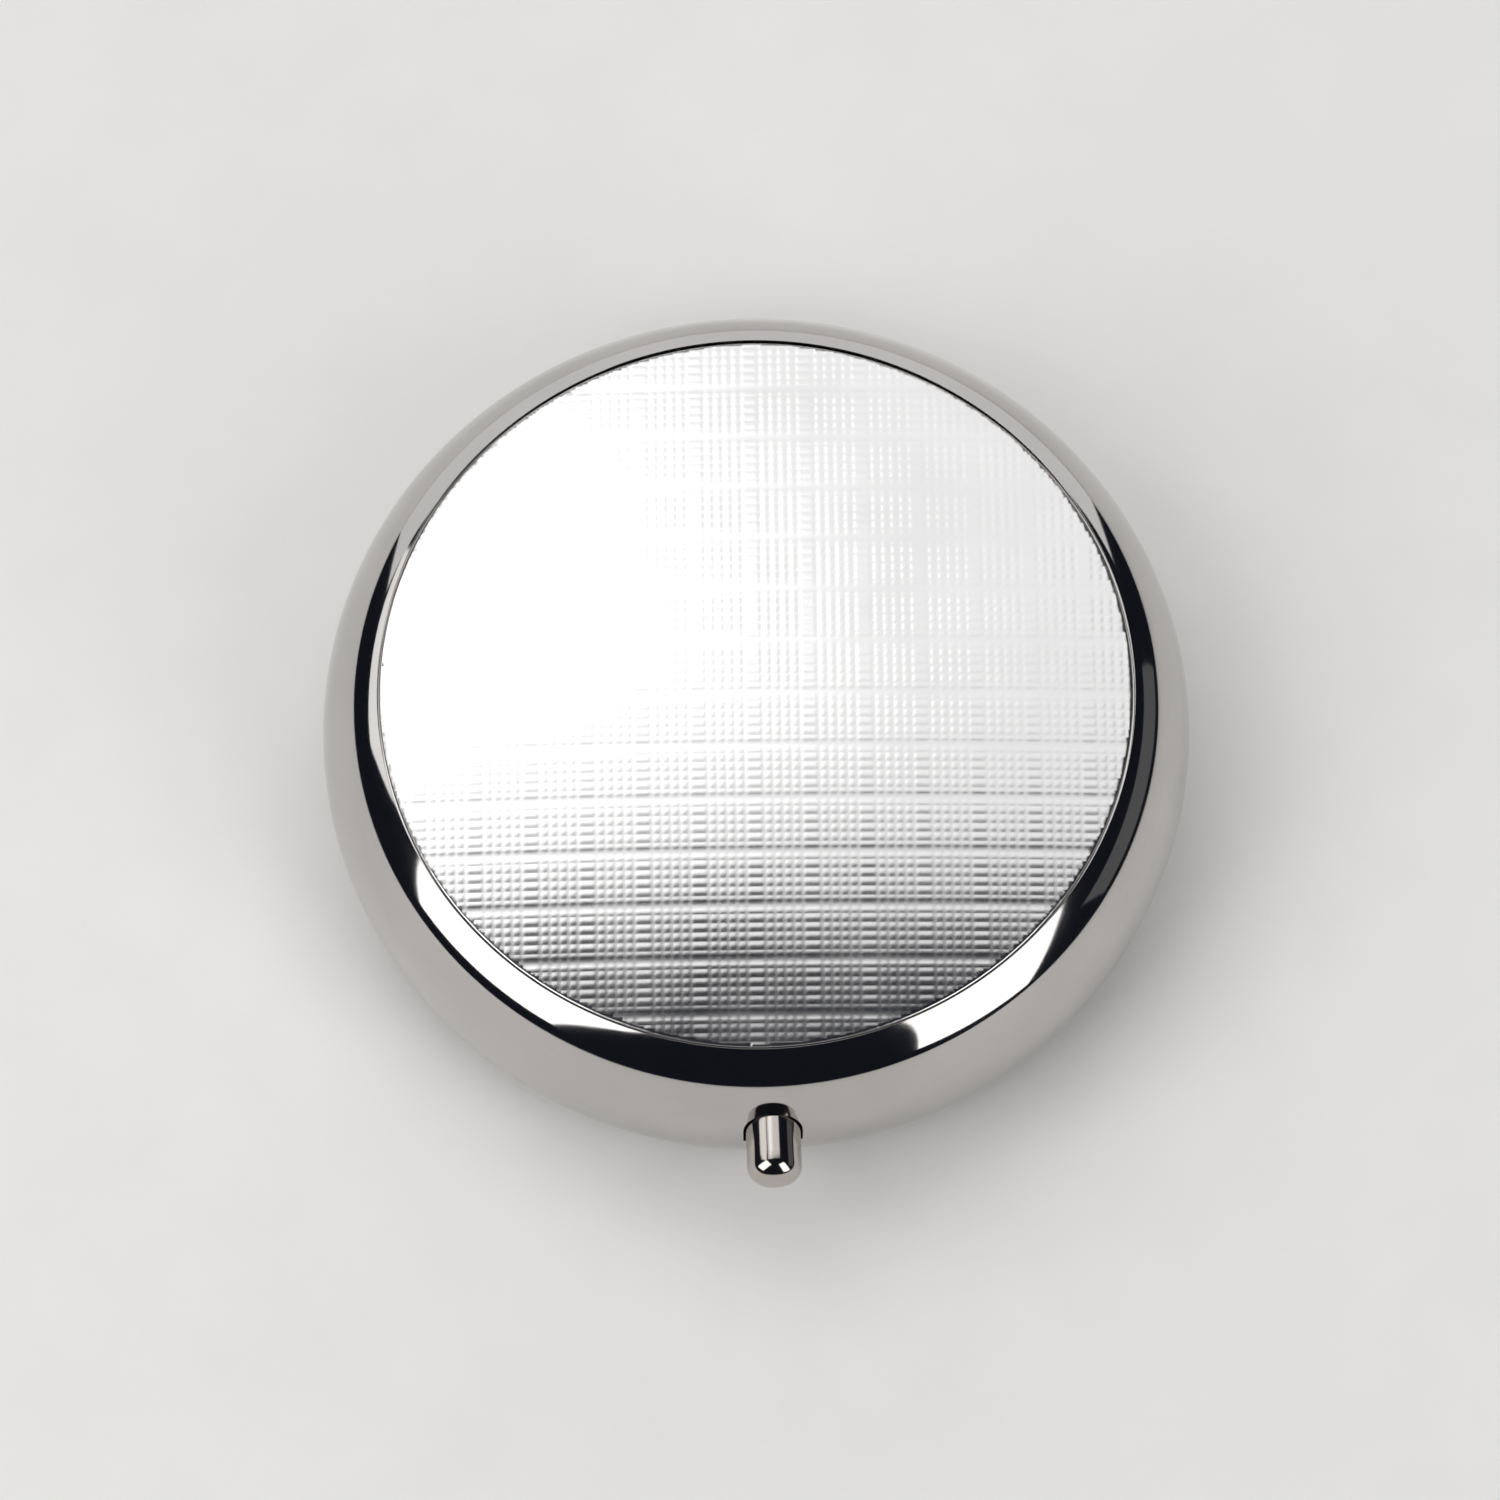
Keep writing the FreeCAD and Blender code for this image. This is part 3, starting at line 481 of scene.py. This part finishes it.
def button_spring(material):
    """The coil behind the button, built at its rest length."""
    mean, wire, turns, steps = 1.15, 0.14, 5.5, 24
    front, back = coil_low.y + wire, coil_high.y - wire
    path = []
    for k in range(int(turns * steps) + 1):
        share = k / (turns * steps)
        turn = 2 * math.pi * turns * share
        y = front + (back - front) * share
        path.append((mean * math.cos(turn), y, BUTTON_Z + mean * math.sin(turn)))
    points, faces = tube(path, wire, WIRE_SIDES)
    piece = add_piece(
        "button_spring_coil", points, faces, material, "base", "button_spring", 60
    )
    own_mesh(piece)


def hinge_spring(material):
    """The torsion spring round the hinge pin, at its closed shape, with a leg to each half."""
    mean, wire, half, turns, steps = 0.57, 0.11, 1.27, 9.5, 24
    leg = 0.86
    path = [(-half, HINGE_Y - leg, HINGE_Z - mean), (-half, HINGE_Y - leg / 2, HINGE_Z - mean)]
    for k in range(int(turns * steps) + 1):
        share = k / (turns * steps)
        turn = 2 * math.pi * turns * share - math.pi / 2
        y, z = HINGE_Y + mean * math.cos(turn), HINGE_Z + mean * math.sin(turn)
        path.append((half * (2 * share - 1), y, z))
    path += [(half, HINGE_Y - leg / 2, HINGE_Z + mean), (half, HINGE_Y - leg, HINGE_Z + mean)]
    points, faces = tube(path, wire, WIRE_SIDES)
    add_piece("hinge_spring_coil", points, faces, material, "base", "hinge_spring", 60)


# ---- materials -------------------------------------------------------------------------------

PATCHES_PER_METRE = 160


def noise(material, source, scale, detail):
    """A noise texture, read at the place that source gives."""
    texture = material.node_tree.nodes.new("ShaderNodeTexNoise")
    texture.inputs["Scale"].default_value = scale
    texture.inputs["Detail"].default_value = detail
    material.node_tree.links.new(source, texture.inputs["Vector"])
    return texture


def surface(name, colour, metallic, rough, spread, grain, grain_depth, tint=0.06, stretch=(1, 1, 1)):
    """A material with worn patches, in its colour and gloss, and a fine grain in gloss and relief.

    grain is the size of the fine relief in millimetres, grain_depth its height in micrometres.
    """
    material = bpy.data.materials.new(name)
    material.use_nodes = True
    nodes, links = material.node_tree.nodes, material.node_tree.links
    shader = nodes["Principled BSDF"]
    shader.inputs["Metallic"].default_value = metallic
    place = nodes.new("ShaderNodeTexCoord")
    mapping = nodes.new("ShaderNodeMapping")
    mapping.inputs["Scale"].default_value = stretch
    links.new(place.outputs["Object"], mapping.inputs["Vector"])

    patches = noise(material, place.outputs["Object"], PATCHES_PER_METRE, 6)
    fine = noise(material, mapping.outputs["Vector"], 1 / (grain * MM), 4)

    roughness = nodes.new("ShaderNodeMapRange")
    roughness.inputs["From Min"].default_value = 0.3
    roughness.inputs["From Max"].default_value = 0.7
    roughness.inputs["To Min"].default_value = rough
    roughness.inputs["To Max"].default_value = rough + spread
    links.new(patches.outputs["Fac"], roughness.inputs["Value"])
    mixed = nodes.new("ShaderNodeMath")
    mixed.operation = "MULTIPLY_ADD"
    links.new(fine.outputs["Fac"], mixed.inputs[0])
    mixed.inputs[1].default_value = spread
    links.new(roughness.outputs["Result"], mixed.inputs[2])
    links.new(mixed.outputs["Value"], shader.inputs["Roughness"])

    shade = nodes.new("ShaderNodeValToRGB")
    dull = tuple(c * (1 - tint) for c in colour)
    shade.color_ramp.elements[0].position = 0.35
    shade.color_ramp.elements[0].color = (*dull, 1)
    shade.color_ramp.elements[1].position = 0.65
    shade.color_ramp.elements[1].color = (*colour, 1)
    links.new(patches.outputs["Fac"], shade.inputs["Fac"])
    links.new(shade.outputs["Color"], shader.inputs["Base Color"])

    bump = nodes.new("ShaderNodeBump")
    bump.inputs["Strength"].default_value = 1.0
    bump.inputs["Distance"].default_value = grain_depth * 1e-6
    links.new(fine.outputs["Fac"], bump.inputs["Height"])
    links.new(bump.outputs["Normal"], shader.inputs["Normal"])
    return material


chrome = surface("polished_plating", (0.54, 0.525, 0.51), 1, 0.035, 0.03, 0.6, 0.6)
collar_plating = surface("collar_plating", (0.8, 0.79, 0.77), 1, 0.12, 0.06, 0.3, 1.0, stretch=(1, 1, 6))
plate_metal = surface("embossed_metal", (0.8, 0.79, 0.785), 1, 0.13, 0.05, 0.12, 1.0)
button_metal = surface("turned_pin", (0.52, 0.48, 0.45), 1, 0.07, 0.04, 0.15, 0.8, stretch=(1, 8, 1))
latch_steel = surface("stamped_steel", (0.6, 0.59, 0.58), 1, 0.25, 0.1, 0.2, 3.0, stretch=(1, 1, 5))
rivet_steel = surface("rivet_steel", (0.66, 0.65, 0.63), 1, 0.22, 0.08, 0.2, 2.0)
spring_wire = surface("spring_wire", (0.5, 0.49, 0.48), 1, 0.22, 0.1, 0.1, 1.5)
hinge_steel = surface("hinge_plating", (0.78, 0.77, 0.75), 1, 0.09, 0.06, 0.3, 1.0)
frame_metal = surface("mirror_frame_plating", (0.82, 0.81, 0.8), 1, 0.06, 0.05, 0.4, 0.8)
mirror_glass = surface("mirror_glass", (0.9, 0.91, 0.92), 1, 0.0, 0.012, 1.5, 0.02, tint=0.02)
tray_plastic = surface("tray_moulding", (0.87, 0.86, 0.83), 0, 0.38, 0.1, 0.25, 6.0, tint=0.04)
foam_pad = surface("foam_pad", (0.2, 0.2, 0.2), 0, 0.85, 0.1, 0.3, 40.0, tint=0.2)
adhesive = surface("adhesive_film", (0.72, 0.7, 0.62), 0, 0.5, 0.15, 0.5, 8.0, tint=0.12)

CARRIED_OVER = {
    "base_collar": collar_plating,
    "pill_tray": tray_plastic,
    "latch_bracket": latch_steel,
    "latch_rivets": rivet_steel,
    "hinge_base_leaf": hinge_steel,
    "hinge_pin": hinge_steel,
    "latch_catch": latch_steel,
    "retaining_clip": spring_wire,
    "plate_adhesive": adhesive,
    "hinge_lid_leaf": hinge_steel,
    "latch_striker": latch_steel,
    "mirror_frame": frame_metal,
    "lid_mirror": mirror_glass,
    "mirror_pad": foam_pad,
}


def finish_cad_nodes():
    """Give each node that keeps its CAD mesh its material."""
    for node, material in CARRIED_OVER.items():
        piece = frame["nodes"][node]
        piece.data.materials.clear()
        piece.data.materials.append(material)


# ---- stage, light and camera -----------------------------------------------------------------


def floor():
    """A plain pale table under the box."""
    mesh = bpy.data.meshes.new("floor")
    half = 1.5
    corners = [(-half, -half, 0), (half, -half, 0), (half, half, 0), (-half, half, 0)]
    mesh.from_pydata(corners, [], [(0, 1, 2, 3)])
    mesh.materials.append(surface("pale_table", (0.87, 0.86, 0.84), 0, 0.6, 0.1, 3.0, 5.0, tint=0.02))
    table = bpy.data.objects.new("floor", mesh)
    bpy.context.scene.collection.objects.link(table)


def softbox(name, toward, distance, width, height, brightness, roll=0.0, seen=True):
    """A soft light in the direction toward, facing the box. White is brightness 1."""
    data = bpy.data.lights.new(name, "AREA")
    data.shape = "RECTANGLE"
    data.size, data.size_y = width, height
    data.energy = brightness * math.pi * width * height
    lamp = bpy.data.objects.new(name, data)
    direction = Vector(toward).normalized()
    lamp.location = direction * distance
    lamp.rotation_mode = "QUATERNION"
    lean = Quaternion((0, 0, 1), math.radians(roll))
    lamp.rotation_quaternion = direction.to_track_quat("Z", "Y") @ lean
    lamp.visible_glossy = seen
    lamp.visible_camera = False
    bpy.context.scene.collection.objects.link(lamp)


def light_the_box():
    """Large soft lights, which the polished metal reflects as pale areas with dark gaps."""
    world = bpy.data.worlds.new("dim_room")
    world.use_nodes = True
    world.node_tree.nodes["Background"].inputs["Color"].default_value = (0.01, 0.012, 0.018, 1)
    bpy.context.scene.world = world
    softbox("back_softbox", (-0.04, 0.457, 0.888), 0.7, 0.62, 0.415, 1.08)
    softbox("back_hotspot", (-0.17, 0.4, 0.9), 0.69, 0.26, 0.22, 0.7)
    softbox("high_left_softbox", (-0.62, 0.38, 0.68), 0.7, 0.34, 0.34, 1.3)
    softbox("left_softbox", (-0.67, -0.35, 0.655), 0.7, 0.44, 0.64, 2.3, roll=7)
    softbox("right_softbox", (0.61, -0.56, 0.555), 0.7, 0.33, 0.68, 2.3, roll=-15)
    softbox("rear_wall", (0, 0.95, 0.31), 1.25, 2.5, 0.85, 0.9)
    softbox("right_wall", (0.92, 0.05, 0.3), 1.0, 0.7, 0.4, 0.12)
    softbox("room_fill", (0, 0, 1), 1.2, 1.6, 1.6, 0.55, seen=False)


CAMERA_AZIMUTH, CAMERA_ELEVATION = -2.2, 69.5
CAMERA_DISTANCE = 450.0
FIELD_WIDTH = 85.3
VIEW_LEFT, VIEW_DOWN = 0.35, 3.82


def camera():
    """A long lens above the front. VIEW_LEFT and VIEW_DOWN shift its aim, in millimetres."""
    turn, rise = math.radians(CAMERA_AZIMUTH), math.radians(CAMERA_ELEVATION)
    back = Vector((math.sin(turn) * math.cos(rise), -math.cos(turn) * math.cos(rise), math.sin(rise)))
    right = Vector((math.cos(turn), math.sin(turn), 0))
    up = back.cross(right)
    centre = Vector((0, 0, PLATE_CROWN)) - VIEW_LEFT * right - VIEW_DOWN * up
    data = bpy.data.cameras.new("camera")
    data.sensor_width = 36
    data.lens = data.sensor_width * CAMERA_DISTANCE / FIELD_WIDTH
    data.clip_start, data.clip_end = 0.02, 10
    eye = bpy.data.objects.new("camera", data)
    eye.location = (centre + back * CAMERA_DISTANCE) * MM
    facing = Matrix((right, up, back)).transposed()
    eye.rotation_mode = "QUATERNION"
    eye.rotation_quaternion = facing.to_quaternion()
    bpy.context.scene.collection.objects.link(eye)
    bpy.context.scene.camera = eye


lid_shell(chrome)
base_shell(chrome)
lid_plate(plate_metal)
push_button(button_metal)
button_spring(spring_wire)
hinge_spring(spring_wire)
finish_cad_nodes()
floor()
light_the_box()
camera()
bpy.context.scene.view_settings.view_transform = "Standard"
